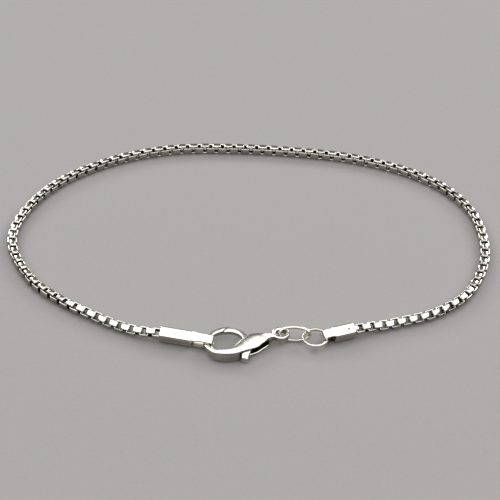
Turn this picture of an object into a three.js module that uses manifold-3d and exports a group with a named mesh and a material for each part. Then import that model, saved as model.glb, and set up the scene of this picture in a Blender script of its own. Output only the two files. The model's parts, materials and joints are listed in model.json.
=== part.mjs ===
// Box chain bracelet with a lobster clasp, closed and lying on a table.
// Units are millimetres, +Z is up, the table is z = 0 and the origin is the middle of the loop.
import * as THREE from 'three';
import { mergeVertices } from 'three/addons/utils/BufferGeometryUtils.js';
import Module from 'manifold-3d';

const wasm = await Module();
wasm.setup();

const DEG = Math.PI / 180;
const WELD = 1e-5;

// Box link: a square ring of flat strip
const LINK_SIZE = 1.52;
const STRIP_THICK = 0.3;
const STRIP_WIDTH = 0.84;
const LINK_CORNER = 0.22;
const LINK_PITCH = 0.975;
const HALVES_SLACK = 0.1;
const LINK_IN_CAP = { right: 0.72, left: 0.3 };

// Route of the chain's axis on the table, from the right cap's mouth round to the left cap's mouth
const ROUTE = [
  [16.3, -18.95],
  [18.9, -17.75],
  [22.8, -16.1],
  [28.9, -13.1],
  [34.2, -7.7],
  [37.1, 1.3],
  [36.0, 11.3],
  [31.7, 18.2],
  [25.0, 22.7],
  [16.0, 25.3],
  [6.0, 26.0],
  [-4.0, 25.7],
  [-14.0, 24.2],
  [-23.4, 20.0],
  [-31.7, 12.8],
  [-36.3, 4.0],
  [-37.0, -4.0],
  [-33.1, -11.9],
  [-27.5, -16.7],
  [-21.5, -20.0],
  [-18.5, -21.35],
  [-15.5, -22.4],
  [-12.4, -22.85],
];

// Roll of the chain about its own axis, outwards: at a cap, where it lies on its corners, and flat
const CAP_ROLL = 18 * DEG;
const CORNER_ROLL = 40 * DEG;
const ROLL_RAMP = 5;
const RIGHT_CORNER_END = 15;
const RIGHT_FLAT = 24;
const LEFT_CORNER_END = 9.5;
const LEFT_FLAT = 17.5;
const LIFT_RAMP = 6;

// End cap: a square sleeve that narrows to a strip folded into a loop
const CAP_SIZE = 1.9;
const CAP_CORNER = 0.16;
const CAP_MOUTH = 1.65;
const CAP_MOUTH_DEPTH = 0.9;
const TONGUE_WIDTH = 1.4;
const TONGUE_THICK = 0.25;
const TONGUE_ROOT = 0.1;
const CAPS = {
  left: { sleeve: 4.8, taper: 1.45, loop: 2.05 },
  right: { sleeve: 3.3, taper: 0.35, loop: 1.6 },
};

// Lobster clasp, in its own frame: x from the base ring to the hook, y to the thumb side, z = 0 half way up
const CLASP_AT = [5.45, -20.99];
const CLASP_TURN = 195 * DEG;
const CLASP_THICK = 2.1;
const CLASP_CORNER = 0.28;
const CLASP_STEPS = 34;
const CLASP_SPINE = [
  { x: 1.1, y: 0.15, width: 1.0, thick: 0.9 },
  { x: 1.9, y: 0.45, width: 1.3, thick: 1.5 },
  { x: 3.0, y: 0.85, width: 2.1, thick: 2.0 },
  { x: 4.5, y: 1.3, width: 3.0, thick: CLASP_THICK },
  { x: 6.05, y: 2.1, width: 2.5, thick: CLASP_THICK },
  { x: 7.65, y: 3.05, width: 1.6, thick: CLASP_THICK },
  { x: 9.15, y: 3.15, width: 1.3, thick: 2.0 },
  { x: 10.8, y: 2.45, width: 1.05, thick: 1.55 },
  { x: 11.5, y: 0.9, width: 0.8, thick: 0.75, rise: 0.15 },
  { x: 11.1, y: -0.45, width: 0.8, thick: 0.75, rise: 0.15 },
  { x: 10.1, y: -1.5, width: 0.85, thick: 0.8, rise: 0.1 },
  { x: 8.75, y: -2.1, width: 0.9, thick: 1.0 },
  { x: 7.35, y: -2.15, width: 0.9, thick: 1.0 },
];
const BASE_RING = { inner: 0.75, outer: 1.38, thick: 0.95, corner: 0.27, rise: 0.05, sides: 16 };

// Lever: an arm across the hook's mouth and a thumb tab, in a slot of the clasp
const SLOT = { from: 2.3, to: 7.05, height: 1.0 };
const PIVOT = [5.25, 1.35];
const PIN = { radius: 0.34, hole: 0.42, sides: 16, short: 0.05 };
const LEVER_THICK = 0.8;
const LEVER_CORNER = 0.12;
const LEVER_STEPS = 16;
const LEVER_SPINE = [
  { x: 6.4, y: 4.3, width: 1.0, rise: -0.25 },
  { x: 6.15, y: 3.5, width: 1.2, rise: 0 },
  { x: 5.65, y: 2.45, width: 1.35 },
  { x: 5.25, y: 1.35, width: 1.5 },
  { x: 5.35, y: 0.05, width: 1.1 },
  { x: 6.0, y: -1.15, width: 0.85 },
  { x: 7.0, y: -1.85, width: 0.8 },
  { x: 8.15, y: -1.95, width: 0.8 },
];
// Slanted joint where the lever's tip tucks under the hook's tip
const TIP_JOINT = { x: 7.95, y: -2.05, normal: -57 * DEG, gap: 0.12, depth: 1.3, reach: 2.6 };

// Jump rings
const LINK_RING = {
  length: 5.0, width: 2.5, wire: 0.46, at: [7.52, -20.65, 1.15], turn: 3 * DEG, tilt: 65 * DEG,
};
const CAP_RING = {
  length: 4.15, width: 4.15, wire: 0.45, at: [10.68, -21.04, 1.05], turn: 90 * DEG, tilt: -3 * DEG,
};
const RING_SIDES = 16;
const WIRE_SIDES = 6;

const silver = { metalness: 1, roughness: 0.18 };
const MATERIALS = {
  chain: new THREE.MeshStandardMaterial({ color: 0xdcdad6, ...silver }),
  hardware: new THREE.MeshStandardMaterial({ color: 0xd6d4cf, ...silver }),
};

// Closed geometry to a solid for joining and cutting
function toSolid(geometry) {
  const bare = geometry.clone();
  bare.deleteAttribute('normal');
  bare.deleteAttribute('uv');
  const merged = mergeVertices(bare, WELD);
  const mesh = new wasm.Mesh({
    numProp: 3,
    vertProperties: Float32Array.from(merged.attributes.position.array),
    triVerts: Uint32Array.from(merged.index.array),
  });
  return new wasm.Manifold(mesh);
}

function toGeometry(solid) {
  const mesh = solid.getMesh();
  const geometry = new THREE.BufferGeometry();
  geometry.setAttribute('position', new THREE.BufferAttribute(mesh.vertProperties, 3));
  geometry.setIndex(new THREE.BufferAttribute(mesh.triVerts, 1));
  geometry.computeVertexNormals();
  return geometry;
}

// Skin through a row of closed sections with equal point counts; the ends are capped unless it closes
function loft(sections, closed = false) {
  const count = sections[0].length;
  const points = sections.flat();
  const faces = [];
  const spans = closed ? sections.length : sections.length - 1;
  for (let i = 0; i < spans; i += 1) {
    const near = i * count;
    const far = ((i + 1) % sections.length) * count;
    for (let j = 0; j < count; j += 1) {
      const k = (j + 1) % count;
      faces.push(near + j, near + k, far + k, near + j, far + k, far + j);
    }
  }
  if (!closed) {
    const last = points.length - count;
    for (let j = 1; j < count - 1; j += 1) {
      faces.push(0, j + 1, j, last, last + j, last + j + 1);
    }
  }
  const geometry = new THREE.BufferGeometry().setFromPoints(points);
  geometry.setIndex(faces);
  return geometry;
}

// Corners of a rectangle with cut corners, counter-clockwise
function cutRectangle(width, height, corner) {
  const x = width / 2;
  const y = height / 2;
  const c = corner;
  return [
    [x, c - y], [x, y - c], [x - c, y], [c - x, y], [-x, y - c], [-x, c - y], [c - x, -y], [x - c, -y],
  ].map(([u, v]) => new THREE.Vector2(u, v));
}

function cutBox(width, height, depth, corner) {
  const shape = new THREE.Shape(cutRectangle(width, height, corner));
  return new THREE.ExtrudeGeometry(shape, { depth, bevelEnabled: false });
}

// Square link, its strip's width along z and its length along x, centred on the origin
function boxLink() {
  const shape = new THREE.Shape(cutRectangle(LINK_SIZE, LINK_SIZE, LINK_CORNER));
  const inner = LINK_SIZE / 2 - STRIP_THICK;
  const hole = [[-inner, -inner], [-inner, inner], [inner, inner], [inner, -inner]];
  shape.holes.push(new THREE.Path(hole.map(([x, y]) => new THREE.Vector2(x, y))));
  const link = new THREE.ExtrudeGeometry(shape, { depth: STRIP_WIDTH, bevelEnabled: false });
  return link.translate(0, 0, -STRIP_WIDTH / 2);
}

// Height of a rolled section's centre above the table that its lowest corner touches
function restHeight(roll, across, tall) {
  return (across / 2) * Math.abs(Math.sin(roll)) + (tall / 2) * Math.abs(Math.cos(roll));
}

function linkHeight(roll) {
  return Math.max(restHeight(roll, STRIP_WIDTH, LINK_SIZE), restHeight(roll, LINK_SIZE, STRIP_WIDTH));
}

const CAP_HEIGHT = restHeight(CAP_ROLL, CAP_SIZE, CAP_SIZE);

const route = new THREE.CatmullRomCurve3(
  ROUTE.map(([x, y]) => new THREE.Vector3(x, y, 0)), false, 'catmullrom', 0.5,
);
route.arcLengthDivisions = 4000;
const ROUTE_LENGTH = route.getLength();

// Roll at a distance along the route, by straight steps between the stops
function chainRoll(distance) {
  const stops = [
    [0, CAP_ROLL],
    [ROLL_RAMP, CORNER_ROLL],
    [RIGHT_CORNER_END, CORNER_ROLL],
    [RIGHT_FLAT, 0],
    [ROUTE_LENGTH - LEFT_FLAT, 0],
    [ROUTE_LENGTH - LEFT_CORNER_END, CORNER_ROLL],
    [ROUTE_LENGTH - ROLL_RAMP, CORNER_ROLL],
    [ROUTE_LENGTH, CAP_ROLL],
  ];
  const next = Math.max(1, stops.findIndex(([at]) => at >= distance));
  const [fromAt, fromRoll] = stops[next - 1];
  const [toAt, toRoll] = stops[next];
  return THREE.MathUtils.mapLinear(distance, fromAt, toAt, fromRoll, toRoll);
}

// The chain lies on the table and rises to the caps' axes at both ends
function chainHeight(distance) {
  const fromEnd = Math.min(distance, ROUTE_LENGTH - distance);
  const lift = 1 - THREE.MathUtils.smoothstep(fromEnd, 0, LIFT_RAMP);
  return linkHeight(chainRoll(distance)) + lift * (CAP_HEIGHT - linkHeight(CAP_ROLL));
}

function chainPoint(distance) {
  const point = route.getPointAt(distance / ROUTE_LENGTH);
  return point.setZ(chainHeight(distance));
}

// Frame of a link: along the chain, inwards and up, rolled outwards
function chainFrame(distance) {
  const reach = LINK_PITCH / 2;
  const ahead = chainPoint(Math.min(distance + reach, ROUTE_LENGTH));
  const along = ahead.sub(chainPoint(Math.max(distance - reach, 0))).normalize();
  const inward = new THREE.Vector3(-along.y, along.x, 0).normalize();
  const up = new THREE.Vector3().crossVectors(along, inward);
  const roll = chainRoll(distance);
  const side = inward.clone().multiplyScalar(Math.cos(roll)).addScaledVector(up, Math.sin(roll));
  return { along, side, top: new THREE.Vector3().crossVectors(along, side) };
}

const FIRST_LINK = LINK_SIZE / 2 - LINK_IN_CAP.right;
const LAST_LINK = ROUTE_LENGTH - LINK_SIZE / 2 + LINK_IN_CAP.left;
const LINK_COUNT = Math.floor((LAST_LINK - FIRST_LINK) / LINK_PITCH) + 1;
const TRUE_PITCH = (LAST_LINK - FIRST_LINK + HALVES_SLACK) / (LINK_COUNT - 1);

// Links first to last of the chain, each a quarter turn from the one before, joined into one body
function chainHalf(name, first, last, shift) {
  const link = boxLink();
  const solids = [];
  for (let i = first; i <= last; i += 1) {
    const distance = FIRST_LINK + i * TRUE_PITCH + shift;
    const { along, side, top } = chainFrame(distance);
    const depth = i % 2 === 0 ? side : top;
    const across = new THREE.Vector3().crossVectors(depth, along);
    const place = new THREE.Matrix4().makeBasis(along, across, depth).setPosition(chainPoint(distance));
    solids.push(toSolid(link.clone().applyMatrix4(place)));
  }
  const mesh = new THREE.Mesh(toGeometry(wasm.Manifold.union(solids)), MATERIALS.chain);
  mesh.name = name;
  return mesh;
}

// End cap along +x from its mouth at x = 0: sleeve, taper and folded loop
function endCap({ sleeve, taper, loop }) {
  const square = cutRectangle(CAP_SIZE, CAP_SIZE, CAP_CORNER);
  const tip = cutRectangle(TONGUE_WIDTH, CAP_SIZE, CAP_CORNER);
  const sections = [[0, square], [sleeve, square], [sleeve + taper, tip]];
  const body = loft(sections.map(([x, outline]) => outline.map((p) => new THREE.Vector3(x, p.x, p.y))));

  const round = CAP_SIZE / 2;
  const strip = new THREE.Shape();
  strip.moveTo(-TONGUE_ROOT, -round);
  strip.lineTo(loop - round, -round);
  strip.absarc(loop - round, 0, round, -Math.PI / 2, Math.PI / 2, false);
  strip.lineTo(-TONGUE_ROOT, round);
  const bend = round - TONGUE_THICK;
  const eye = new THREE.Path();
  eye.moveTo(0, -bend);
  eye.lineTo(loop - round, -bend);
  eye.absarc(loop - round, 0, bend, -Math.PI / 2, Math.PI / 2, false);
  eye.lineTo(0, bend);
  strip.holes.push(eye);
  const tongue = new THREE.ExtrudeGeometry(strip, {
    depth: TONGUE_WIDTH, bevelEnabled: false, curveSegments: 8,
  });
  tongue.translate(0, 0, -TONGUE_WIDTH / 2).rotateX(Math.PI / 2).translate(sleeve + taper, 0, 0);

  const mouth = cutBox(CAP_MOUTH, CAP_MOUTH, 2 * CAP_MOUTH_DEPTH, CAP_CORNER);
  mouth.translate(0, 0, -CAP_MOUTH_DEPTH).rotateY(Math.PI / 2);
  return toGeometry(toSolid(body).add(toSolid(tongue)).subtract(toSolid(mouth)));
}

// Cap on a chain's end, turned along the chain and rolled with it; away is +1 where the chain arrives
function placedCap(name, sizes, distance, away) {
  const cap = new THREE.Mesh(endCap(sizes), MATERIALS.hardware);
  cap.name = name;
  cap.rotation.x = away * CAP_ROLL;
  const along = route.getTangentAt(distance / ROUTE_LENGTH).multiplyScalar(away);
  const holder = new THREE.Group();
  holder.position.copy(route.getPointAt(distance / ROUTE_LENGTH)).setZ(CAP_HEIGHT);
  holder.rotation.z = Math.atan2(along.y, along.x);
  return holder.add(cap);
}

// Bar along a flat spine, with a cut-cornered section across it at every step
function spineBar(rows, steps, corner, thickOf) {
  const path = new THREE.CatmullRomCurve3(
    rows.map(({ x, y, rise = 0 }) => new THREE.Vector3(x, y, rise)), false, 'catmullrom',
  );
  const sizes = new THREE.CatmullRomCurve3(
    rows.map((row) => new THREE.Vector3(row.width, thickOf(row), 0)), false, 'catmullrom',
  );
  const sections = [];
  for (let i = 0; i <= steps; i += 1) {
    const at = path.getPoint(i / steps);
    const along = path.getTangent(i / steps);
    const across = new THREE.Vector3(-along.y, along.x, 0).normalize();
    const { x: width, y: tall } = sizes.getPoint(i / steps);
    const thick = Math.min(tall, CLASP_THICK);
    const cut = Math.min(corner, width / 4, thick / 4);
    sections.push(cutRectangle(width, thick, cut).map((p) => (
      at.clone().addScaledVector(across, p.x).add(new THREE.Vector3(0, 0, p.y))
    )));
  }
  return loft(sections);
}

function uprightCylinder(radius, height, sides, [x, y]) {
  return new THREE.CylinderGeometry(radius, radius, height, sides).rotateX(Math.PI / 2).translate(x, y, 0);
}

// Block on one side of the slanted tip joint that also takes half the gap from the other side
function tipCutter(direction) {
  const { x, y, normal, gap, depth, reach } = TIP_JOINT;
  const block = new THREE.BoxGeometry(depth, reach, CLASP_THICK).translate((depth - gap) / 2, 0, 0);
  return block.rotateZ(normal + direction).translate(x, y, 0);
}

function claspBody() {
  const { inner, outer, thick, corner, rise, sides } = BASE_RING;
  const section = cutRectangle(outer - inner, thick, corner);
  const profile = section.map((p) => new THREE.Vector2(p.x + (inner + outer) / 2, p.y));
  const ring = new THREE.LatheGeometry([...profile, profile[0]], sides).rotateX(Math.PI / 2);
  ring.translate(0, 0, rise);
  const eye = uprightCylinder(inner, CLASP_THICK, sides, [0, 0]);
  const bar = spineBar(CLASP_SPINE, CLASP_STEPS, CLASP_CORNER, (row) => row.thick);
  const slot = new THREE.BoxGeometry(SLOT.to - SLOT.from, 3 * CLASP_THICK, SLOT.height);
  slot.translate((SLOT.from + SLOT.to) / 2, PIVOT[1], 0);
  const bore = uprightCylinder(PIN.hole, 2 * CLASP_THICK, PIN.sides, PIVOT);
  const solid = toSolid(bar).subtract(toSolid(eye)).add(toSolid(ring))
    .subtract(toSolid(slot)).subtract(toSolid(bore)).subtract(toSolid(tipCutter(Math.PI)));
  return toGeometry(solid);
}

function claspLever() {
  const arm = spineBar(LEVER_SPINE, LEVER_STEPS, LEVER_CORNER, () => LEVER_THICK);
  const bore = uprightCylinder(PIN.hole, CLASP_THICK, PIN.sides, PIVOT);
  return toGeometry(toSolid(arm).subtract(toSolid(bore)).subtract(toSolid(tipCutter(0))));
}

function clasp() {
  const group = new THREE.Group();
  const pin = uprightCylinder(PIN.radius, CLASP_THICK - 2 * PIN.short, PIN.sides, PIVOT);
  const pieces = { clasp_body: claspBody(), clasp_lever: claspLever(), clasp_pin: pin };
  for (const [name, geometry] of Object.entries(pieces)) {
    const mesh = new THREE.Mesh(geometry, MATERIALS.hardware);
    mesh.name = name;
    group.add(mesh);
  }
  group.position.set(CLASP_AT[0], CLASP_AT[1], CLASP_THICK / 2);
  group.rotation.z = CLASP_TURN;
  return group;
}

// Oval or round ring of wire, its length along x
function jumpRing(name, { length, width, wire, at, turn, tilt }) {
  const sections = [];
  for (let i = 0; i < RING_SIDES; i += 1) {
    const angle = (2 * Math.PI * i) / RING_SIDES;
    const [a, b] = [(length - wire) / 2, (width - wire) / 2];
    const centre = new THREE.Vector3(a * Math.cos(angle), b * Math.sin(angle), 0);
    const outward = new THREE.Vector3(b * Math.cos(angle), a * Math.sin(angle), 0).normalize();
    const section = [];
    for (let j = 0; j < WIRE_SIDES; j += 1) {
      const round = (2 * Math.PI * j) / WIRE_SIDES;
      const reach = outward.clone().multiplyScalar((wire / 2) * Math.cos(round));
      section.push(centre.clone().add(reach).add(new THREE.Vector3(0, 0, (wire / 2) * Math.sin(round))));
    }
    sections.push(section.reverse());
  }
  const mesh = new THREE.Mesh(loft(sections, true), MATERIALS.hardware);
  mesh.name = name;
  mesh.rotation.x = tilt;
  const holder = new THREE.Group();
  holder.position.set(...at);
  holder.rotation.z = turn;
  return holder.add(mesh);
}

const MIDDLE_LINK = Math.floor(LINK_COUNT / 2);
const bracelet = new THREE.Group();
bracelet.add(
  chainHalf('box_chain_right', 0, MIDDLE_LINK, 0),
  chainHalf('box_chain_left', MIDDLE_LINK + 1, LINK_COUNT - 1, -HALVES_SLACK),
  placedCap('end_cap_right', CAPS.right, 0, -1),
  placedCap('end_cap_left', CAPS.left, ROUTE_LENGTH, 1),
  clasp(),
  jumpRing('link_ring', LINK_RING),
  jumpRing('cap_ring', CAP_RING),
);

export default bracelet;
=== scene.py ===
# %% [markdown]
# # A box chain bracelet
# The bracelet is already built as solids: a closed loop of square links, two sleeves on the chain's ends,
# two jump rings and a lobster clasp with a sprung lever. Those solids fix every size and place. This lesson
# gives them the rounded edges, the fold lines and the bright silver plate of the real thing, without moving
# anything. All sizes below are in millimetres, as on a jeweller's drawing, and become metres only when a
# mesh is made.

# %% Load the fixed frame
import json
import math

import bpy
import numpy as np
from mathutils import Matrix, Vector

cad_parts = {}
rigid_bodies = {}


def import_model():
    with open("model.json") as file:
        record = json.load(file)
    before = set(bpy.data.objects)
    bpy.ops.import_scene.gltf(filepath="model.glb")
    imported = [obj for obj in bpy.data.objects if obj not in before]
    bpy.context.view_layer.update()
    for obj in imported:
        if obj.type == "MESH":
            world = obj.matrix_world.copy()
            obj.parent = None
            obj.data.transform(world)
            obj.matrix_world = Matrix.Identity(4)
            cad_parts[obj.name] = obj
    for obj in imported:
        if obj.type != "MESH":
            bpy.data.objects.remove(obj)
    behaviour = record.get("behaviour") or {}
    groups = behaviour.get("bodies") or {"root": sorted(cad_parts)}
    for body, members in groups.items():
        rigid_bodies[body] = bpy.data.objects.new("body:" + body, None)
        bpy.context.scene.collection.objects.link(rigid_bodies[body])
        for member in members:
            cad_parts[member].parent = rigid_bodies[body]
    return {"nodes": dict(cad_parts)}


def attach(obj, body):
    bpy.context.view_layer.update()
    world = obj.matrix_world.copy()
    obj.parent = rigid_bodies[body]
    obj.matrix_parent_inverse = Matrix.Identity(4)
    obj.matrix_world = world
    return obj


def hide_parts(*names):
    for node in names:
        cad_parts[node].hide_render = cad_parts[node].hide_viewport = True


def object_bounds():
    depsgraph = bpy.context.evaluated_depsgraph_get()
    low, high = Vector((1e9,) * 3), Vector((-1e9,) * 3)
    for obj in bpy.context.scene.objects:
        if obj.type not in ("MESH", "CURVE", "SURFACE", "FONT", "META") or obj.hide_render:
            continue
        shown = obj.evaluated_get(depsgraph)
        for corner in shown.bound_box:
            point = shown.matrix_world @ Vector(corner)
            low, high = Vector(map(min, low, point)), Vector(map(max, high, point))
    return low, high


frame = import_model()
cad_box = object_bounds()
MM = 0.001
DEG = math.pi / 180
FULL_TURN = 2 * np.pi
print("solids:", ", ".join(sorted(frame["nodes"])))

# %% [markdown]
# ## Camera
# The picture was taken from in front of the clasp, looking down at nearly forty degrees, with a long lens and
# the camera a few degrees out of level. Three typed angles could aim a camera, but they are hard to read.
# Since a camera in Blender looks along its own -Z, a tracking quaternion aims that axis at a point on the
# table, and one turn about the same axis gives the tilt.

# %% Camera
CAMERA_DISTANCE = 315.25
CAMERA_ELEVATION = 38.81 * DEG
CAMERA_TILT = 4.06 * DEG
AIM = Vector((0.0, -0.04, 0.0))
LENS = 143.9

camera = bpy.data.objects.new("camera", bpy.data.cameras.new("camera"))
back = Vector((0.0, -math.cos(CAMERA_ELEVATION), math.sin(CAMERA_ELEVATION)))
aimed = (-back).to_track_quat("-Z", "Y").to_matrix().to_4x4()
place = Matrix.Translation((AIM + back * CAMERA_DISTANCE) * MM)
camera.matrix_world = place @ aimed @ Matrix.Rotation(CAMERA_TILT, 4, "Z")
camera.data.lens = LENS
camera.data.sensor_width = 36.0
bpy.context.scene.collection.objects.link(camera)
bpy.context.scene.camera = camera
print("camera at", [round(c / MM, 1) for c in camera.location])

# %% [markdown]
# ## Grids of points
# Each new piece is a grid: one index runs along the piece and the other runs round it. A formula fills the
# whole grid at once, and the faces are then only a matter of counting. Curves through a few chosen points
# are Catmull-Rom curves, the same as in the solids, so that both follow the same line.

# %% Curves and grids
def smooth_curve(points, places):
    """Catmull-Rom curve: cubics from point to point, with half the step between the neighbours as slope."""
    rows = np.asarray(points, float)
    rows = np.vstack([2 * rows[0] - rows[1], rows, 2 * rows[-1] - rows[-2]])
    start = np.clip(np.floor(places).astype(int), 0, len(points) - 2)
    t = (places - start)[:, None]
    a, b, c, d = (rows[start + k] for k in range(4))
    return b + 0.5 * t * (c - a + t * (2 * a - 5 * b + 4 * c - d + t * (3 * (b - c) + d - a)))


def unit(vectors):
    """Each vector divided by its length."""
    return vectors / np.linalg.norm(vectors, axis=-1, keepdims=True)


def travel(line):
    """Distance travelled along a line of points, from its first point."""
    steps = np.linalg.norm(np.diff(line, axis=0), axis=1)
    return np.concatenate([[0.0], np.cumsum(steps)])


def grid_faces(rows, columns, ring):
    """Four corners of each face of a grid whose columns go round, and whose rows too if it is a ring."""
    i = np.arange(rows if ring else rows - 1)[:, None]
    j = np.arange(columns)[None, :]
    near, far = i * columns, (i + 1) % rows * columns
    left, right = j, (j + 1) % columns
    return np.stack([near + left, near + right, far + right, far + left], -1).reshape(-1, 4)


def signed_volume(points, faces):
    """Sum over the faces of the tetrahedra to the middle: positive where the faces point outwards."""
    p = points - points.mean(0)
    total = 0.0
    for face in faces:
        fan = p[np.asarray(face)]
        total += np.einsum("ij,ij->", np.cross(fan[1:-1], fan[2:]), np.broadcast_to(fan[0], fan[2:].shape))
    return total / 6


def skin(grid, ring=False):
    """Closed skin over a grid: joined end to end if it is a ring, or else with a face on each end."""
    rows, columns = grid.shape[:2]
    points = grid.reshape(-1, 3)
    faces = grid_faces(rows, columns, ring).tolist()
    if not ring:
        first = np.arange(columns)
        faces += [first[::-1].tolist(), (first + (rows - 1) * columns).tolist()]
    if signed_volume(points, faces) < 0:
        faces = [face[::-1] for face in faces]
    return points, faces


# %% Put skins into a mesh
# Faces that meet at a wider angle than this keep a crisp edge between them, and the rest are shaded smooth.
SHARP = 38 * DEG


def add_piece(name, skins, node, material, body="bracelet", marks=None, normals=None):
    """One object from several closed skins, which takes the place of a solid and moves with its body.

    marks are named values, one for each face or one for each point. Where no normals are given, crisp edges
    are found by their angle."""
    offsets = np.cumsum([0] + [len(points) for points, _ in skins])
    points = np.concatenate([points for points, _ in skins])
    faces = [[i + int(k) for i in face] for k, (_, group) in zip(offsets, skins) for face in group]
    mesh = bpy.data.meshes.new(name)
    mesh.from_pydata((points * MM).tolist(), [], faces)
    for mark, values in (marks or {}).items():
        domain = "FACE" if len(values) == len(faces) else "POINT"
        mesh.attributes.new(mark, "FLOAT", domain).data.foreach_set("value", values.astype(np.float32))
    mesh.shade_smooth()
    if normals is None:
        mesh.set_sharp_from_angle(angle=SHARP)
    else:
        mesh.normals_split_custom_set_from_vertices(normals.tolist())
    mesh.materials.append(material)
    piece = bpy.data.objects.new(name, mesh)
    bpy.context.scene.collection.objects.link(piece)
    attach(piece, body)
    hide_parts(node)
    print(f"{name}: {len(points)} points, {len(faces)} faces, volume {signed_volume(points, faces):.2f} mm3")


# %% [markdown]
# ## Silver plate
# Every piece is base metal under a thin bright layer of silver. Polished silver is close to a mirror, so its
# look comes from three small things: slow waves left by rolling, folding or casting, which bend the
# reflections; hairline scratches, which blur them a little; and a warm darker colour. That colour is partly
# real tarnish in stray patches and mostly painted shade: a little on the side walls, and much more inside the
# links, the tubes and the slot. One function builds all three from real sizes, and each piece has its own
# amounts of them. Each mesh says where its painted shade lies, in an attribute. Mixing one plain grey would
# be quicker, but silver without these three looks like paint.

# %% Colours and nodes
def linear(code):
    """sRGB hex code to linear red, green, blue and alpha."""
    s = np.array([int(code[k:k + 2], 16) for k in (1, 3, 5)]) / 255
    return (*np.where(s <= 0.04045, s / 12.92, ((s + 0.055) / 1.055) ** 2.4), 1.0)


def add_node(tree, kind, inputs, **settings):
    """A new node with its settings, whose inputs are given values or linked to other nodes' outputs."""
    node = tree.nodes.new(kind)
    for key, value in settings.items():
        setattr(node, key, value)
    for key, value in inputs.items():
        if isinstance(value, bpy.types.NodeSocket):
            tree.links.new(value, node.inputs[key])
        else:
            node.inputs[key].default_value = value
    return node


# %% Painted shade on walls and in recesses
SHADE_ATTRIBUTE = "shade_and_tarnish"
# Painted shade on upright walls: a wall is mixed this far towards the darker colour, so that it looks darker
# than a top.
PAINTED_WALL_SHADE = 0.5
# Upright part of the normal up to which a face counts as a wall, and from which it counts as a top.
WALL, TOP = 0.35, 0.7


def painted_wall_shade(upright):
    """Painted shade by the upright part of a face's normal: full on a wall, none on a top or a bottom."""
    return np.interp(np.abs(upright), [WALL, TOP], [PAINTED_WALL_SHADE, 0.0])


print(f"film on a wall {painted_wall_shade(0.0):.2f}, on a slope {painted_wall_shade(0.5):.2f}, on a top {painted_wall_shade(1.0):.2f}")

# %% Plate with waves, scratches, tarnish patches and painted shade
SCRATCH_DEPTH = 0.0007
# Stray film lies in patches a few waves wide: none where the noise is low, the whole of it where it is high.
PATCH_WAVES, PATCH_FILM = 3, 0.22
PATCH_BARE, PATCH_FULL = 0.35, 0.75
# Along the scratches the roughness swings between these parts of its mean, over the middle of the noise.
POLISHED, SCRATCHED = 0.7, 1.5
LINE_LOW, LINE_HIGH = 0.3, 0.7


def silver_plate(name, clean, shade_and_tarnish, roughness, wave, wave_height, scratch, grain):
    """Bright plate: darker colour as painted shade where the mesh marks it and in stray tarnish patches,
    roughness from scratches, and bump from waves and scratches.

    wave, wave_height and scratch are in millimetres, and grain stretches the scratches along an axis. The
    painted shade follows the mesh's own attribute, which is 1 in a recess."""
    material = bpy.data.materials.new(name)
    material.use_nodes = True
    tree = material.node_tree
    shader = tree.nodes["Principled BSDF"]
    where = add_node(tree, "ShaderNodeTexCoord", {}).outputs["Object"]
    per_mm = 1 / MM
    drawn = add_node(tree, "ShaderNodeMapping", {"Vector": where, "Scale": grain}).outputs["Vector"]
    lines = add_node(tree, "ShaderNodeTexNoise", {"Vector": drawn, "Scale": per_mm / scratch, "Detail": 3.0})
    swell = add_node(tree, "ShaderNodeTexNoise", {"Vector": where, "Scale": per_mm / wave, "Detail": 1.0})
    patch_scale = per_mm / (PATCH_WAVES * wave)
    patch = add_node(tree, "ShaderNodeTexNoise", {"Vector": where, "Scale": patch_scale, "Detail": 4.0})

    # Painted shade: the mesh's attribute, added to the stray tarnish patches, mixes the plate towards the
    # darker colour.
    shade_mark = add_node(tree, "ShaderNodeAttribute", {}, attribute_name=SHADE_ATTRIBUTE).outputs["Fac"]
    stray = add_node(tree, "ShaderNodeMapRange", {
        "Value": patch.outputs["Fac"], "From Min": PATCH_BARE, "From Max": PATCH_FULL,
        "To Min": 0.0, "To Max": PATCH_FILM})
    darkened = add_node(tree, "ShaderNodeMath", {0: shade_mark, 1: stray.outputs["Result"]},
                      operation="ADD", use_clamp=True)
    tint = add_node(tree, "ShaderNodeMix", {
        "Factor": darkened.outputs[0], "A": linear(clean), "B": linear(shade_and_tarnish)}, data_type="RGBA")
    tree.links.new(tint.outputs["Result"], shader.inputs["Base Color"])

    haze = add_node(tree, "ShaderNodeMapRange", {
        "Value": lines.outputs["Fac"], "From Min": LINE_LOW, "From Max": LINE_HIGH,
        "To Min": POLISHED * roughness, "To Max": SCRATCHED * roughness})
    tree.links.new(haze.outputs["Result"], shader.inputs["Roughness"])

    waves = add_node(tree, "ShaderNodeBump", {
        "Height": swell.outputs["Fac"], "Strength": 1.0, "Distance": wave_height * MM})
    fine = add_node(tree, "ShaderNodeBump", {
        "Height": lines.outputs["Fac"], "Strength": 1.0, "Distance": SCRATCH_DEPTH * MM,
        "Normal": waves.outputs["Normal"]})
    tree.links.new(fine.outputs["Normal"], shader.inputs["Normal"])
    shader.inputs["Metallic"].default_value = 1.0
    return material


# %% Four finishes
# Real hairline scratches are about a hundredth of a millimetre wide. Here they are about ten times as coarse,
# because finer ones would not show.

# Strip from the rolls, cut and bent by machine: every face is a small mirror with a slow wave in it, so one
# link flashes white beside another that is half dark. Painted shade makes the insides nearly black.
rolled_plate = silver_plate("silver plate on rolled strip", clean="#F0EDE3", shade_and_tarnish="#3E3932", roughness=0.16,
                            wave=0.9, wave_height=0.012, scratch=0.12, grain=(1, 1, 1))

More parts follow.
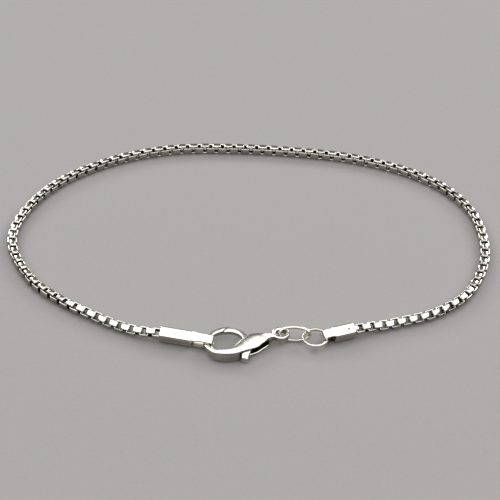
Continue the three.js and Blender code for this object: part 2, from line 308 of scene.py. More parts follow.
# Stamped sheet, folded round a former: broad quiet faces, each of one brightness from end to end, with fine
# lines along the sleeve that draw the reflections out.
# Painted shade makes the inside of each tube a warm grey.
folded_plate = silver_plate("silver plate on folded sheet", clean="#F0EDE3", shade_and_tarnish="#8C8475", roughness=0.17,
                            wave=1.6, wave_height=0.02, scratch=0.1, grain=(0.12, 1, 1))

# A casting, tumbled and buffed until no edge is left: long soft highlights that follow the S of the clasp and
# fray a little where the buff has crossed them. Painted shade makes the slot dark.
cast_plate = silver_plate("silver plate on polished casting", clean="#F0EDE3", shade_and_tarnish="#4A443B", roughness=0.2,
                          wave=1.3, wave_height=0.012, scratch=0.14, grain=(0.4, 1, 1))

# Wire drawn through a die is round and even: one thin bright line runs along the top of each ring. Painted
# shade makes its inner side a little darker and yellower.
wire_plate = silver_plate("silver plate on drawn wire", clean="#E9E6DE", shade_and_tarnish="#A09681", roughness=0.15,
                          wave=0.8, wave_height=0.012, scratch=0.1, grain=(1, 1, 1))
print("finishes:", ", ".join(m.name for m in bpy.data.materials if m.name.startswith("silver")))

# %% [markdown]
# ## The way of the chain
# The chain lies on the table in one loop, from the mouth of the right sleeve round the far side to the mouth
# of the left sleeve. Near the sleeves it is twisted and leans outwards, on the corners of its links, and
# further round it lies flat. The points, the lean and the heights are those of the solids. A curve object
# with its own twist could carry the links too, but a table of distances and leans is easier to read.

# %% Route and lean
ROUTE = [
    # x and y on the table, from the right sleeve round the far side to the left sleeve
    (16.3, -18.95), (18.9, -17.75), (22.8, -16.1), (28.9, -13.1), (34.2, -7.7), (37.1, 1.3), (36.0, 11.3),
    (31.7, 18.2), (25.0, 22.7), (16.0, 25.3), (6.0, 26.0), (-4.0, 25.7), (-14.0, 24.2), (-23.4, 20.0),
    (-31.7, 12.8), (-36.3, 4.0), (-37.0, -4.0), (-33.1, -11.9), (-27.5, -16.7), (-21.5, -20.0),
    (-18.5, -21.35), (-15.5, -22.4), (-12.4, -22.85),
]
CAP_ROLL = 18 * DEG
CORNER_ROLL = 40 * DEG
ROUTE_STEPS = 6000

route_line = smooth_curve(ROUTE, np.linspace(0, len(ROUTE) - 1, ROUTE_STEPS))
route_travel = travel(route_line)
ROUTE_LENGTH = route_travel[-1]
LEANS = [
    # distance along the route and roll there
    (0, CAP_ROLL), (5, CORNER_ROLL), (15, CORNER_ROLL), (24, 0),
    (ROUTE_LENGTH - 17.5, 0), (ROUTE_LENGTH - 9.5, CORNER_ROLL), (ROUTE_LENGTH - 5, CORNER_ROLL),
    (ROUTE_LENGTH, CAP_ROLL),
]
lean_at, lean_roll = np.array(LEANS).T
print(f"chain from sleeve to sleeve: {ROUTE_LENGTH:.1f} mm")

# %% Height above the table
LINK_SIZE = 1.52
STRIP_WIDTH = 0.84
CAP_SIZE = 1.9
LIFT_RAMP = 6.0


def rest_height(roll, across, tall):
    """Half the height of a rolled rectangle: each half side times the sine or cosine of the roll."""
    return across / 2 * np.abs(np.sin(roll)) + tall / 2 * np.abs(np.cos(roll))


def link_height(roll):
    """Height of a link's middle: the higher of the two kinds of link, which stand a quarter turn apart."""
    return np.maximum(rest_height(roll, STRIP_WIDTH, LINK_SIZE), rest_height(roll, LINK_SIZE, STRIP_WIDTH))


CAP_HEIGHT = rest_height(CAP_ROLL, CAP_SIZE, CAP_SIZE)


def chain_points(distance):
    """Points of the chain's axis: the route, at resting height, eased up to the sleeves at both ends."""
    distance = np.clip(distance, 0, ROUTE_LENGTH)
    roll = np.interp(distance, lean_at, lean_roll)
    near_end = np.clip(np.minimum(distance, ROUTE_LENGTH - distance) / LIFT_RAMP, 0, 1)
    lift = 1 - near_end ** 2 * (3 - 2 * near_end)
    height = link_height(roll) + lift * (CAP_HEIGHT - link_height(CAP_ROLL))
    flat = [np.interp(distance, route_travel, route_line[:, k]) for k in (0, 1)]
    return np.stack([*flat, height], -1)


print(f"height of the axis: {link_height(0.0):.2f} mm lying flat, {CAP_HEIGHT:.2f} mm in the sleeves")

# %% [markdown]
# ## Box links
# A box chain is made by a machine that bends flat strip into square rings. Each ring is closed through the
# one before it, a quarter turn on. One link here is a small profile, a strip with broken edges, carried round
# a square with rounded corners. All the links are placed at once by giving every point three coordinates in
# its own link's directions. No two links of a worn chain lie quite alike, so each is turned by a seeded
# degree or two, which makes the light run unevenly along the chain.

# %% Rounded square as two fixed arrays
def rounded_square(corner_points, flat_count):
    """Outline that is linear in its half size and corner radius: half * reach + radius * bend."""
    k = np.arange(4)[:, None]
    turn = k * np.pi / 2 + np.linspace(0, np.pi / 2, corner_points)[None, :]
    diagonal = (k + 0.5) * np.pi / 2
    corner_at = np.sqrt(2) * np.stack([np.cos(diagonal), np.sin(diagonal)], -1)
    reach = np.broadcast_to(corner_at, (4, corner_points, 2))
    bend = np.stack([np.cos(turn), np.sin(turn)], -1) - reach
    t = np.linspace(0, 1, flat_count + 2)[1:-1][None, :, None]
    outline = []
    for corners in (reach, bend):
        flats = (1 - t) * corners[:, -1:] + t * np.roll(corners, -1, 0)[:, :1]
        outline.append(np.concatenate([corners, flats], 1).reshape(-1, 2))
    return outline


# %% Shape of one link
LINK_DRAWN = 1.5
# The strip nearly fills the opening of the next link. The solids' strip is narrower, because their links are
# joined and a wider one would cut the links beside it.
STRIP_DRAWN = 0.92
STRIP_THICK = 0.26
LINK_BEND = 0.2
LEAST_BEND = 0.02
EDGE_TURN = np.array([0, 60, 120, 180]) * DEG

half_thick = STRIP_THICK / 2
strip_out = np.concatenate([np.cos(EDGE_TURN), np.cos(EDGE_TURN[::-1])])
strip_aside = np.concatenate([np.sin(EDGE_TURN), -np.sin(EDGE_TURN[::-1])])
strip_flat = (STRIP_DRAWN / 2 - half_thick) * np.repeat([1, -1], len(EDGE_TURN))
reach, bend = rounded_square(corner_points=2, flat_count=0)
half = LINK_DRAWN / 2 - half_thick + half_thick * strip_out
radius = np.maximum(LINK_BEND - half_thick + half_thick * strip_out, LEAST_BEND)
link_flat = half[:, None] * reach[:, None] + radius[:, None] * bend[:, None]
link_aside = np.broadcast_to((strip_flat + half_thick * strip_aside)[:, None], (len(reach), len(half), 1))
link_points = np.concatenate([link_flat, link_aside], -1)
# The strip's inner face, which gets full painted shade.
link_recess = np.isclose(strip_out, -1).astype(float)
print(f"one link: {link_points.shape[0]} steps round, {link_points.shape[1]} points in the strip's profile")

# %% Shading of one link
# Rolled strip is never quite flat. Its faces are domed across by the crown and along by the bow, too little
# to change the outline, so only the normals lean by these angles.
CROWN, BOW = 10 * DEG, 8 * DEG

crowned = np.clip(EDGE_TURN, CROWN, np.pi - CROWN)
crown_out = np.concatenate([np.cos(crowned), np.cos(crowned[::-1])])
crown_aside = np.concatenate([np.sin(crowned), -np.sin(crowned[::-1])])
around = (np.arange(4)[:, None] * np.pi / 2 + np.array([BOW, np.pi / 2 - BOW])).ravel()
normal_flat = crown_out[:, None] * np.stack([np.cos(around), np.sin(around)], -1)[:, None]
normal_aside = np.broadcast_to(crown_aside[:, None], link_aside.shape)
link_normals = np.concatenate([normal_flat, normal_aside], -1)
print(f"normals lean up to {math.hypot(CROWN, BOW) / DEG:.0f} degrees at the corners of a face")

# %% Distances of the links
LINK_PITCH = 0.975
# How far the last links reach into the sleeves, and how much is taken out where the two halves meet.
IN_RIGHT_CAP, IN_LEFT_CAP = 0.72, 0.3
HALVES_SLACK = 0.1

first_link = LINK_SIZE / 2 - IN_RIGHT_CAP
last_link = ROUTE_LENGTH - LINK_SIZE / 2 + IN_LEFT_CAP
link_count = math.floor((last_link - first_link) / LINK_PITCH) + 1
true_pitch = (last_link - first_link + HALVES_SLACK) / (link_count - 1)
index = np.arange(link_count)
left_half = index > link_count // 2
distance = first_link + index * true_pitch - HALVES_SLACK * left_half
print(f"{link_count} links, one every {true_pitch:.3f} mm")

# %% Place the links
TURN_SPREAD = 1.3 * DEG
rng = np.random.default_rng(11)

roll = np.interp(distance, lean_at, lean_roll) + rng.normal(0, TURN_SPREAD, link_count)
along = unit(chain_points(distance + LINK_PITCH / 2) - chain_points(distance - LINK_PITCH / 2))
inward = unit(np.stack([-along[:, 1], along[:, 0], np.zeros(link_count)], -1))
up = np.cross(along, inward)
side = np.cos(roll)[:, None] * inward + np.sin(roll)[:, None] * up
depth = np.where((index % 2 == 0)[:, None], side, np.cross(along, side))
axes = np.stack([along, np.cross(depth, along), depth], 1)
placed = chain_points(distance)[:, None, None, :] + np.einsum("rck,nkx->nrcx", link_points, axes)
facing = np.einsum("rck,nkx->nrcx", link_normals, axes)
# Painted shade: full on each link's inner face, and on its walls by how upright they stand.
link_shade = np.maximum(link_recess, painted_wall_shade(facing[..., 2]))


def chain_half(name, node, chosen):
    """All links of one half as closed square rings, joined into one object."""
    rings = [skin(grid, ring=True) for grid in placed[chosen]]
    add_piece(name, rings, node, rolled_plate, marks={SHADE_ATTRIBUTE: link_shade[chosen].ravel()},
              normals=facing[chosen].reshape(-1, 3))


chain_half("chain_links_right", "box_chain_right", ~left_half)
chain_half("chain_links_left", "box_chain_left", left_half)

# %% [markdown]
# ## End sleeves
# The sleeve on each end of the chain is folded from one stamped piece of sheet: a square tube that holds the
# last link, and a tongue that runs on from it, bends round the clasp or the ring and comes back underneath.
# The tube is a rounded square carried along a closed path: along the outside, over the far rim, back along
# the inside and over the mouth's rim. A seam and two dents are pressed into it by formula, since a modifier
# would blur them. The tongue is a strip with broken edges carried round its bend.

# %% Square tube
SHEET = 0.12
SLEEVE_CORNER = 0.3
LEAST_CORNER = 0.05
SLEEVE_POINTS = {"corner_points": 5, "flat_count": 15}
SLEEVE_STEPS = 48
RIM = 0.05
SEAM_DEPTH = 0.07
SEAM_HALF = 0.05
SEAM_HEIGHT = -0.3


def sleeve_grid(length, seam_side, dents):
    """Tube wall: rounded squares at rising x outside and falling x inside, set in by the sheet within.

    The seam is a bell-shaped groove by height on one side, and each dent a flat-bottomed bell on the top."""
    outside = np.linspace(RIM, length - RIM, SLEEVE_STEPS)
    ease = RIM * (1 - np.sqrt(0.5))
    rim_x = np.array([ease, 0, 0, ease])
    rim_in = np.array([ease, RIM, SHEET - RIM, SHEET - ease])
    x = np.concatenate([outside, length - rim_x, [length - RIM, RIM], rim_x[::-1]])
    inset = np.concatenate([np.zeros(SLEEVE_STEPS), rim_in, [SHEET, SHEET], rim_in[::-1]])
    reach, bend = rounded_square(**SLEEVE_POINTS)
    half = (CAP_SIZE / 2 - inset)[:, None, None]
    radius = np.maximum(SLEEVE_CORNER - inset, LEAST_CORNER)[:, None, None]
    yz = half * reach + radius * bend
    grid = np.concatenate([np.broadcast_to(x[:, None, None], (*yz.shape[:2], 1)), yz], -1)
    outer = (inset == 0)[:, None]
    y, z = grid[..., 1], grid[..., 2]
    on_seam = outer & (seam_side * y > CAP_SIZE / 2 - RIM)
    grid[..., 1] -= seam_side * on_seam * SEAM_DEPTH * np.exp(-(((z - SEAM_HEIGHT) / SEAM_HALF) ** 2))
    for at_x, at_y, half_x, half_y, deep in dents:
        q = ((grid[..., 0] - at_x) / half_x) ** 2 + ((y - at_y) / half_y) ** 2
        grid[..., 2] -= deep * np.exp(-(q ** 2)) * (outer & (z > CAP_SIZE / 2 - RIM))
    return grid


# %% Folded tongue
TONGUE_WIDTH = 1.4
TONGUE_THICK = 0.25
TONGUE_EDGE = 0.06
TONGUE_ROOT = 0.06
TONGUE_STEPS = 24


def tongue_grid(sleeve, taper, loop):
    """Strip along a hairpin: out along the top, round a half circle and back along the bottom."""
    round_at = sleeve + taper + loop - CAP_SIZE / 2
    middle = (CAP_SIZE - TONGUE_THICK) / 2
    run = np.linspace(sleeve - TONGUE_ROOT, round_at, TONGUE_STEPS)
    turn = np.linspace(np.pi / 2, -np.pi / 2, TONGUE_STEPS)[1:-1]
    straight = np.ones(TONGUE_STEPS)
    x = np.concatenate([run, round_at + middle * np.cos(turn), run[::-1]])
    z = np.concatenate([middle * straight, middle * np.sin(turn), -middle * straight])
    lean = np.concatenate([np.pi / 2 * straight, turn, -np.pi / 2 * straight])
    narrow = np.clip((x - sleeve) / taper, 0, 1)
    narrow = narrow ** 2 * (3 - 2 * narrow)
    half_width = (CAP_SIZE / 2 - SHEET) * (1 - narrow) + TONGUE_WIDTH / 2 * narrow
    h, e = TONGUE_THICK / 2, TONGUE_EDGE
    across = np.array([1, 1, 1, 1, -1, -1, -1, -1])
    inset = np.array([e, 0, 0, e, e, 0, 0, e])
    off = np.array([-h, e - h, h - e, h, h, h - e, e - h, -h])
    grid_x = x[:, None] + off * np.cos(lean)[:, None]
    grid_y = across * (half_width[:, None] - inset)
    grid_z = z[:, None] + off * np.sin(lean)[:, None]
    return np.stack([grid_x, grid_y, grid_z], -1)


def turned(points, heading, roll, at):
    """Points turned by the roll about x, then by the heading about z, and moved to their place."""
    matrix = Matrix.Rotation(heading, 3, "Z") @ Matrix.Rotation(roll, 3, "X")
    return points @ np.array(matrix).T + at


# %% Place the sleeves
LEFT_CAP = {"sleeve": 4.8, "taper": 1.45, "loop": 2.05}
RIGHT_CAP = {"sleeve": 3.3, "taper": 0.35, "loop": 1.6}
RIGHT_DENTS = [
    # x and y of the middle, half length, half width and depth
    (0.95, 0.1, 0.24, 0.15, 0.14), (0.3, 0.15, 0.09, 0.32, 0.14),
]
# Painted shade inside the tube, and a lighter painted shade on the inner face of the tongue, where the ring
# or the hook sits.
TUBE_SHADE, TONGUE_SHADE = 0.8, 0.3
HEADING_STEP = 0.01


def end_sleeve(name, node, sizes, arrives, dents):
    """A sleeve and its tongue at one end of the route, headed away from the chain and rolled with it."""
    end = ROUTE_LENGTH if arrives else 0.0
    away = 1 if arrives else -1
    ends = chain_points(np.array([end - away * HEADING_STEP, end]))
    ahead = ends[1] - ends[0]
    heading, roll = math.atan2(ahead[1], ahead[0]), away * CAP_ROLL
    at = np.array([ends[1][0], ends[1][1], CAP_HEIGHT])
    tube = sleeve_grid(sizes["sleeve"], -away, dents)
    tongue = tongue_grid(**sizes)
    skins = [skin(turned(tube, heading, roll, at), ring=True), skin(turned(tongue, heading, roll, at))]

    # Painted shade: full inside the tube, on its outer walls by how upright they stand, and on the tongue's
    # inner face.
    within = np.abs(tube[..., 1:]).max(-1) < CAP_SIZE / 2 - SHEET / 2
    reach, bend = rounded_square(**SLEEVE_POINTS)
    across, upright = (reach + bend).T
    tube_shade = np.where(within, TUBE_SHADE, painted_wall_shade(math.sin(roll) * across + math.cos(roll) * upright))
    tongue_shade = np.zeros(tongue.shape[:2])
    tongue_shade[:, [0, -1]] = TONGUE_SHADE
    shade_and_tarnish = np.concatenate([tube_shade.ravel(), tongue_shade.ravel()])
    add_piece(name, skins, node, folded_plate, marks={SHADE_ATTRIBUTE: shade_and_tarnish})


end_sleeve("sleeve_left", "end_cap_left", LEFT_CAP, arrives=True, dents=[])
end_sleeve("sleeve_right", "end_cap_right", RIGHT_CAP, arrives=False, dents=RIGHT_DENTS)

# %% [markdown]
# ## Lobster clasp
# The clasp is a small casting: an S of metal that is stout in the middle, thin at the base ring and drawn out
# to a hook. Polishing has rounded all its edges. Its shape is a flattened ring carried along the S, squarer
# than an ellipse. A slot for the lever runs right through the stout part. A boolean cut would leave a ragged
# edge there, so the faces of both sides are left out, and a roof, a floor and two end walls close the gap.

# %% Bar along a flat spine
CLASP_AT = (5.45, -20.99)
CLASP_TURN = 195 * DEG
CLASP_THICK = 2.1
SLANT_STEPS = 14
SPINE = [
    # x, y, width, thickness and rise of the S, from the base ring to the hook's tip
    (1.1, 0.15, 1.0, 0.9, 0.0), (1.9, 0.45, 1.3, 1.5, 0.0), (3.0, 0.85, 2.1, 2.0, 0.0),
    (4.5, 1.3, 3.0, 2.1, 0.0), (6.05, 2.1, 2.5, 2.1, 0.0), (7.65, 3.05, 1.6, 2.1, 0.0),
    (9.15, 3.15, 1.3, 2.0, 0.0), (10.8, 2.45, 1.05, 1.55, 0.0), (11.5, 0.9, 0.8, 0.75, 0.15),
    (11.1, -0.45, 0.8, 0.75, 0.15), (10.1, -1.5, 0.85, 0.8, 0.1), (8.75, -2.1, 0.9, 1.0, 0.0),
    (7.88, -2.17, 0.9, 1.0, 0.0),
]


def flat_frame(rows, steps):
    """Rows of a spine at even steps, with the direction across it in the plane."""
    line = smooth_curve(rows, np.linspace(0, len(rows) - 1, steps))
    ahead = unit(np.gradient(line[:, :2], axis=0))
    return line, ahead, np.stack([-ahead[:, 1], ahead[:, 0]], -1)


def squarer(wave, power):
    """A cosine or sine with its sign kept and its size raised to a power: below 1 it squares a ring."""
    return np.sign(wave) * np.abs(wave) ** power


def slanted(points, line, ahead, normal):
    """Last sections sheared along the spine, by growing amounts, until the end lies on a slanted plane."""
    facing = np.array([math.cos(normal), math.sin(normal)])
    off = (points[..., :2] - line[:, None, :2]) @ facing
    to_end = len(line) - 1 - np.arange(len(line))
    amount = np.clip(1 - to_end / SLANT_STEPS, 0, 1) ** 2
    slide = -off * (amount / (ahead @ facing))[:, None]
    moved = points.copy()
    moved[..., :2] += slide[..., None] * ahead[:, None, :]
    return moved


def to_table(points):
    """Points of the clasp's own frame turned and moved to their place in the bracelet."""
    return turned(points, CLASP_TURN, 0.0, np.array([*CLASP_AT, CLASP_THICK / 2]))


print(f"spine of the clasp: {len(SPINE)} rows, stoutest {max(row[2] for row in SPINE)} mm across")

# %% Cast body
BODY_STEPS = 150
SQUARENESS = 3.0
TOP_LEAN = 0.16
TIP_NORMAL = -57 * DEG
# The slot lies between two x. Where the bar is thin, it takes no more than a part of the thickness.
SLOT_FROM, SLOT_TO = 2.3, 7.5
SLOT_HALF, SLOT_PART = 0.5, 0.58
LIP_DEEP, LIP_WIDE = 0.07, 0.12
# Points of a section: on the roof or the floor, and down each side.
ARC, BAND = 19, 9

line, ahead, across = flat_frame(SPINE, BODY_STEPS)
width, thick, rise = line[:, 2], np.minimum(line[:, 3], CLASP_THICK), line[:, 4]
slot_level = np.minimum((SLOT_HALF + LIP_DEEP) / (thick / 2), SLOT_PART)
edge = np.arcsin(slot_level ** (SQUARENESS / 2))[:, None]
arc, band = np.linspace(0, 1, ARC)[None, :], np.linspace(0, 1, BAND)[None, 1:-1]
roof = edge + (np.pi - 2 * edge) * arc
side_far = np.pi - edge + 2 * edge * band
angle = np.concatenate([roof, side_far, roof + np.pi, side_far + np.pi], 1)
bulge = 2 / SQUARENESS
wide = squarer(np.cos(angle), bulge) * width[:, None] / 2
tall = squarer(np.sin(angle), bulge) * thick[:, None] / 2 + rise[:, None]
over_slot = (tall - rise[:, None]) / (thick[:, None] / 2) - slot_level[:, None]
lean = np.clip(over_slot / (1 - slot_level[:, None]), 0, 1) * thick[:, None] / CLASP_THICK
tall -= TOP_LEAN * lean * wide * across[:, 1:]
flat = line[:, None, :2] + wide[..., None] * across[:, None, :]
body_grid = slanted(np.concatenate([flat, tall[..., None]], -1), line, ahead, TIP_NORMAL)
print(f"cast body: {BODY_STEPS} sections of {angle.shape[1]} points")

# %% Rims of the slot
slotted = (line[:, 0] > SLOT_FROM) & (line[:, 0] < SLOT_TO) & (np.arange(BODY_STEPS) < BODY_STEPS // 2)
first_cut, last_cut = np.flatnonzero(slotted)[[0, -1]]
columns = angle.shape[1]
near_up, far_up, far_low, near_low = 0, ARC - 1, ARC + BAND - 2, 2 * ARC + BAND - 3
rims = [near_up, far_up, far_low, near_low]
cut = np.arange(first_cut, last_cut + 1)
inner_wide = wide[cut][:, rims] - LIP_WIDE * np.sign(wide[cut][:, rims])
inner_tall = body_grid[cut][:, rims, 2] - LIP_DEEP * np.array([1, 1, -1, -1])
inner_flat = line[cut][:, None, :2] + inner_wide[..., None] * across[cut][:, None, :]
inner_grid = np.concatenate([inner_flat, inner_tall[..., None]], -1)
print(f"slot from section {first_cut} to {last_cut}")

# %% Faces round the slot
quads = grid_faces(BODY_STEPS, columns, False)
section, column = quads[:, 0] // columns, quads[:, 0] % columns
in_band = ((column >= far_up) & (column < far_low)) | (column >= near_low)
kept = ~(in_band & (section >= first_cut) & (section < last_cut))
outer_rim = cut[:, None] * columns + rims
inner_rim = BODY_STEPS * columns + np.arange(4 * len(cut)).reshape(-1, 4)


def strip_faces(left, right):
    """Quads between two lines of points that run side by side."""
    return np.stack([left[:-1], left[1:], right[1:], right[:-1]], -1)


lips = []
for k in range(4):
    edges = outer_rim[:, k], inner_rim[:, k]
    lips.append(strip_faces(*edges) if k % 2 == 0 else strip_faces(*edges[::-1]))
inner = [strip_faces(inner_rim[:, k], inner_rim[:, k + 1]) for k in (0, 2)]
far_wall = np.arange(far_up, far_low + 1)
near_wall = np.append(np.arange(near_low, columns), near_up)


def end_wall(row):
    """Outline of the slot's end: down the far side, in over the lips, up the near side and back."""
    start, tips = cut[row] * columns, inner_rim[row]
    return np.concatenate([start + far_wall, tips[2:], start + near_wall, tips[:2]])


slot_ends = [end_wall(0), end_wall(-1)[::-1]]
bar_ends = [np.arange(columns)[::-1], np.arange(columns) + (BODY_STEPS - 1) * columns]
bright = [*quads[kept], *np.concatenate(lips), *bar_ends]
# Faces of the slot's roof, floor and end walls, which get full painted shade.
darkened = [*np.concatenate(inner), *slot_ends]
body_faces = [face.tolist() for face in bright + darkened]
body_points = to_table(np.concatenate([body_grid.reshape(-1, 3), inner_grid.reshape(-1, 3)]))
if signed_volume(body_points, body_faces) < 0:
    body_faces = [face[::-1] for face in body_faces]
print(f"{len(bright)} bright faces and {len(darkened)} in the slot")

# %% Base ring
RING_INNER, RING_OUTER, RING_THICK, RING_RISE = 0.75, 1.38, 0.95, 0.05
RING_BULGE = 0.7
RING_POINTS, BAR_POINTS = 64, 20

round_ring = np.linspace(0, FULL_TURN, RING_POINTS, endpoint=False)[:, None]
round_bar = np.linspace(0, FULL_TURN, BAR_POINTS, endpoint=False)[None, :]
bar_out = squarer(np.cos(round_bar), RING_BULGE) * (RING_OUTER - RING_INNER) / 2
bar_up = squarer(np.sin(round_bar), RING_BULGE) * RING_THICK / 2
radius = (RING_OUTER + RING_INNER) / 2 + bar_out
bar_up = bar_up + RING_RISE + 0 * round_ring
ring_grid = np.stack([radius * np.cos(round_ring), radius * np.sin(round_ring), bar_up], -1)
base_ring = skin(to_table(ring_grid), ring=True)

# %% Casting with its painted shade, one value a face
# Painted shade: on the walls of the bar and the base ring by how upright they stand, none on the lips and the
# ends, and full in the slot.
bar_shade = painted_wall_shade(np.sin(angle)).ravel()[quads[kept, 0]]
plain_shade = np.zeros(len(bright) - len(bar_shade))
ring_shade = np.tile(painted_wall_shade(np.sin(round_bar[0])), RING_POINTS)
shade_and_tarnish = np.concatenate([bar_shade, plain_shade, np.ones(len(darkened)), ring_shade])
add_piece("clasp_casting", [(body_points, body_faces), base_ring], "clasp_body", cast_plate,
          marks={SHADE_ATTRIBUTE: shade_and_tarnish})

# %% [markdown]
# ## Lever and rivet
# The lever closes the hook's mouth and is drawn back by the thumb tab. A spring hidden in the slot shuts it.
# It is a flat bar along its own curve, with broken edges, and its tip is slanted like the hook's so that the
# two meet. The rivet it turns on is a turned pin, so it is a profile carried round its axis. The same grid
# makes both, so neither needs a tool of its own.

# %% Lever
LEVER_THICK = 0.8
LEVER_SPINE = [
    # x, y and width, from the thumb tab to the tip
    (6.4, 4.3, 1.0), (6.15, 3.5, 1.2), (5.65, 2.45, 1.35), (5.25, 1.35, 1.5), (5.35, 0.05, 1.1),
    (6.0, -1.15, 0.85), (7.0, -1.85, 0.8), (7.89, -2.0, 0.8),
]
LEVER_STEPS, LEVER_POINTS = 72, 32
LEVER_SQUARENESS = 4.0
TAB_FROM, TAB_DROOP = 3.1, 0.22

line, ahead, across = flat_frame(LEVER_SPINE, LEVER_STEPS)
angle = np.linspace(0, FULL_TURN, LEVER_POINTS, endpoint=False)[None, :]
bulge = 2 / LEVER_SQUARENESS
wide = squarer(np.cos(angle), bulge) * line[:, 2:] / 2
tall = squarer(np.sin(angle), bulge) * LEVER_THICK / 2 + 0 * line[:, 2:]
tall -= TOP_LEAN * np.clip(tall / (LEVER_THICK / 2), 0, 1) * wide * across[:, 1:]
flat = line[:, None, :2] + wide[..., None] * across[:, None, :]
tall -= TAB_DROOP * np.clip(flat[..., 1] - TAB_FROM, 0, None) ** 2
lever_grid = slanted(np.concatenate([flat, tall[..., None]], -1), line, ahead, TIP_NORMAL + np.pi)
lever = skin(to_table(lever_grid))
# Painted shade on the lever's walls, by how upright they stand.
add_piece("thumb_lever", [lever], "clasp_lever", cast_plate, body="lever",
          marks={SHADE_ATTRIBUTE: np.tile(painted_wall_shade(np.sin(angle[0])), LEVER_STEPS)})

# %% Rivet
PIVOT = (5.25, 1.35)
RIVET_PROFILE = [
    # radius and height of half the rivet, from its middle to its domed head
    (0.34, 0.0), (0.34, 0.9), (0.36, 0.98), (0.33, 1.03), (0.2, 1.055), (0.01, 1.06),
]
RIVET_POINTS = 32

half = np.array(RIVET_PROFILE)
profile = np.concatenate([half[::-1] * (1, -1), half[1:]])
turn = np.linspace(0, FULL_TURN, RIVET_POINTS, endpoint=False)
rivet_x = PIVOT[0] + profile[:, :1] * np.cos(turn)
rivet_y = PIVOT[1] + profile[:, :1] * np.sin(turn)
rivet_grid = np.stack([rivet_x, rivet_y, profile[:, 1:] + 0 * turn], -1)
rivet = skin(to_table(rivet_grid))
add_piece("clasp_rivet", [rivet], "clasp_pin", cast_plate,
          marks={SHADE_ATTRIBUTE: np.zeros(len(rivet[0]))})

# %% [markdown]
# ## Jump rings
# Jump rings are cut from a coil of drawn wire and pressed shut, so each has a hairline cut. A torus has no
# cut and is always round, so the wire's round section is carried along an ellipse that stops just short of
# closing.

# %% Rings of drawn wire
RING_STEPS, WIRE_STEPS = 72, 14
CUT = 0.05
# The third of the wire that faces into the ring, where the next ring hangs, has a warm painted shade.
INNER_THIRD, WIRE_SHADE = math.cos(120 * DEG), 0.6


def jump_ring(name, node, length, width, wire, at, turn, tilt, cut_at):
    """Ellipse (a cos s, b sin s) with a circle of wire across it, along the ellipse's normal and upwards."""
    a, b = (length - wire) / 2, (width - wire) / 2
    gap = CUT / max(a, b)
    s = cut_at + np.linspace(gap / 2, FULL_TURN - gap / 2, RING_STEPS)[:, None]
    t = np.linspace(0, FULL_TURN, WIRE_STEPS, endpoint=False)[None, :]
    normal = unit(np.concatenate([b * np.cos(s), a * np.sin(s)], 1))
    x = a * np.cos(s) + wire / 2 * np.cos(t) * normal[:, :1]
    y = b * np.sin(s) + wire / 2 * np.cos(t) * normal[:, 1:]
    grid = np.stack([x, y, wire / 2 * np.sin(t) + 0 * s], -1)
    ring = skin(turned(grid, turn, tilt, np.array(at)))
    # Painted shade on the inner third of the wire.
    inner = np.broadcast_to(np.cos(t) < INNER_THIRD, grid.shape[:2]).ravel()
    add_piece(name, [ring], node, wire_plate, marks={SHADE_ATTRIBUTE: WIRE_SHADE * inner})


jump_ring("oval_ring", "link_ring", length=5.0, width=2.5, wire=0.46, at=(7.52, -20.65, 1.15),
          turn=3 * DEG, tilt=65 * DEG, cut_at=300 * DEG)
jump_ring("round_ring", "cap_ring", length=4.15, width=4.15, wire=0.45, at=(10.68, -21.04, 1.05),
          turn=90 * DEG, tilt=-3 * DEG, cut_at=160 * DEG)

# %% [markdown]
# ## Floor and light
# Silver shows what is around it, so small lamps would give it only hard sparks. One broad soft light overhead
# gives the bright faces, a dim room gives the dark ones, and the pale floor is seen in the walls. Two far
# lamps at the back put an edge on the links of the far side.

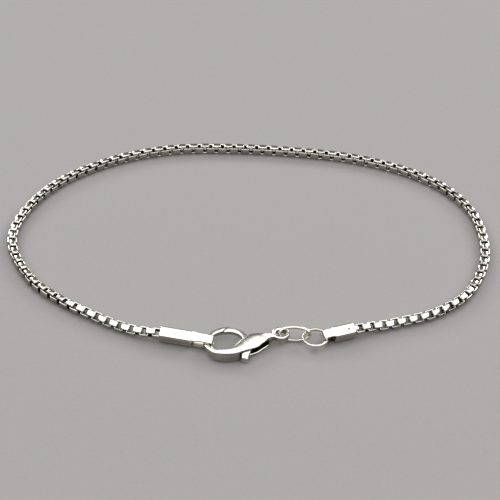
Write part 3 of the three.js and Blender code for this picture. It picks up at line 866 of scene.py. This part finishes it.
# %% Floor
FLOOR_HALF = 900.0
floor_level = cad_box[0].z / MM
floor_mesh = bpy.data.meshes.new("floor")
floor_corners = [(x * FLOOR_HALF * MM, y * FLOOR_HALF * MM, floor_level * MM)
                 for x, y in ((-1, -1), (1, -1), (1, 1), (-1, 1))]
floor_mesh.from_pydata(floor_corners, [], [(0, 1, 2, 3)])
floor = bpy.data.objects.new("floor", floor_mesh)
bpy.context.scene.collection.objects.link(floor)
print("floor at", round(floor_level, 3), "mm")

# %% Board of the floor
# Uncoated board has no shine: it gives one even grey with soft shadows. Its tooth is really about a tenth of
# a millimetre, and is drawn coarser so that it shows at all.
BOARD_TOOTH = 0.6

board = bpy.data.materials.new("pale matt board")
board.use_nodes = True
tree = board.node_tree
where = add_node(tree, "ShaderNodeTexCoord", {}).outputs["Object"]
tooth = add_node(tree, "ShaderNodeTexNoise", {
    "Vector": where, "Scale": 1 / (BOARD_TOOTH * MM), "Detail": 3.0})
tint = add_node(tree, "ShaderNodeMix", {
    "Factor": tooth.outputs["Fac"], "A": linear("#83817F"), "B": linear("#898785")}, data_type="RGBA")
shader = tree.nodes["Principled BSDF"]
tree.links.new(tint.outputs["Result"], shader.inputs["Base Color"])
shader.inputs["Roughness"].default_value = 0.9
floor_mesh.materials.append(board)
print("floor finish:", board.name)

# %% Light
ROOM = linear("#5A5A5C")
LAMPS = [
    # name, place, point it is aimed at, sizes across and along, and power in watts
    ("overhead softbox", (0, -195, 600), (0, -195, 0), (1800, 1250), 12.6),
    ("far left lamp", (-500, 640, 430), (0, 0, 0), (600, 300), 4.5),
    ("far right lamp", (500, 640, 430), (0, 0, 0), (600, 300), 4.5),
]

world = bpy.data.worlds.new("dim room")
world.use_nodes = True
world.node_tree.nodes["Background"].inputs["Color"].default_value = ROOM
bpy.context.scene.world = world

for name, place, aim, sizes, power in LAMPS:
    lamp = bpy.data.lights.new(name, "AREA")
    lamp.shape = "RECTANGLE"
    lamp.size, lamp.size_y = (side * MM for side in sizes)
    lamp.energy = power
    holder = bpy.data.objects.new(name, lamp)
    holder.location = Vector(place) * MM
    holder.rotation_euler = (holder.location - Vector(aim) * MM).to_track_quat("Z", "Y").to_euler()
    bpy.context.scene.collection.objects.link(holder)
bpy.context.scene.view_settings.view_transform = "Standard"
print("lamps:", ", ".join(name for name, *_ in LAMPS))
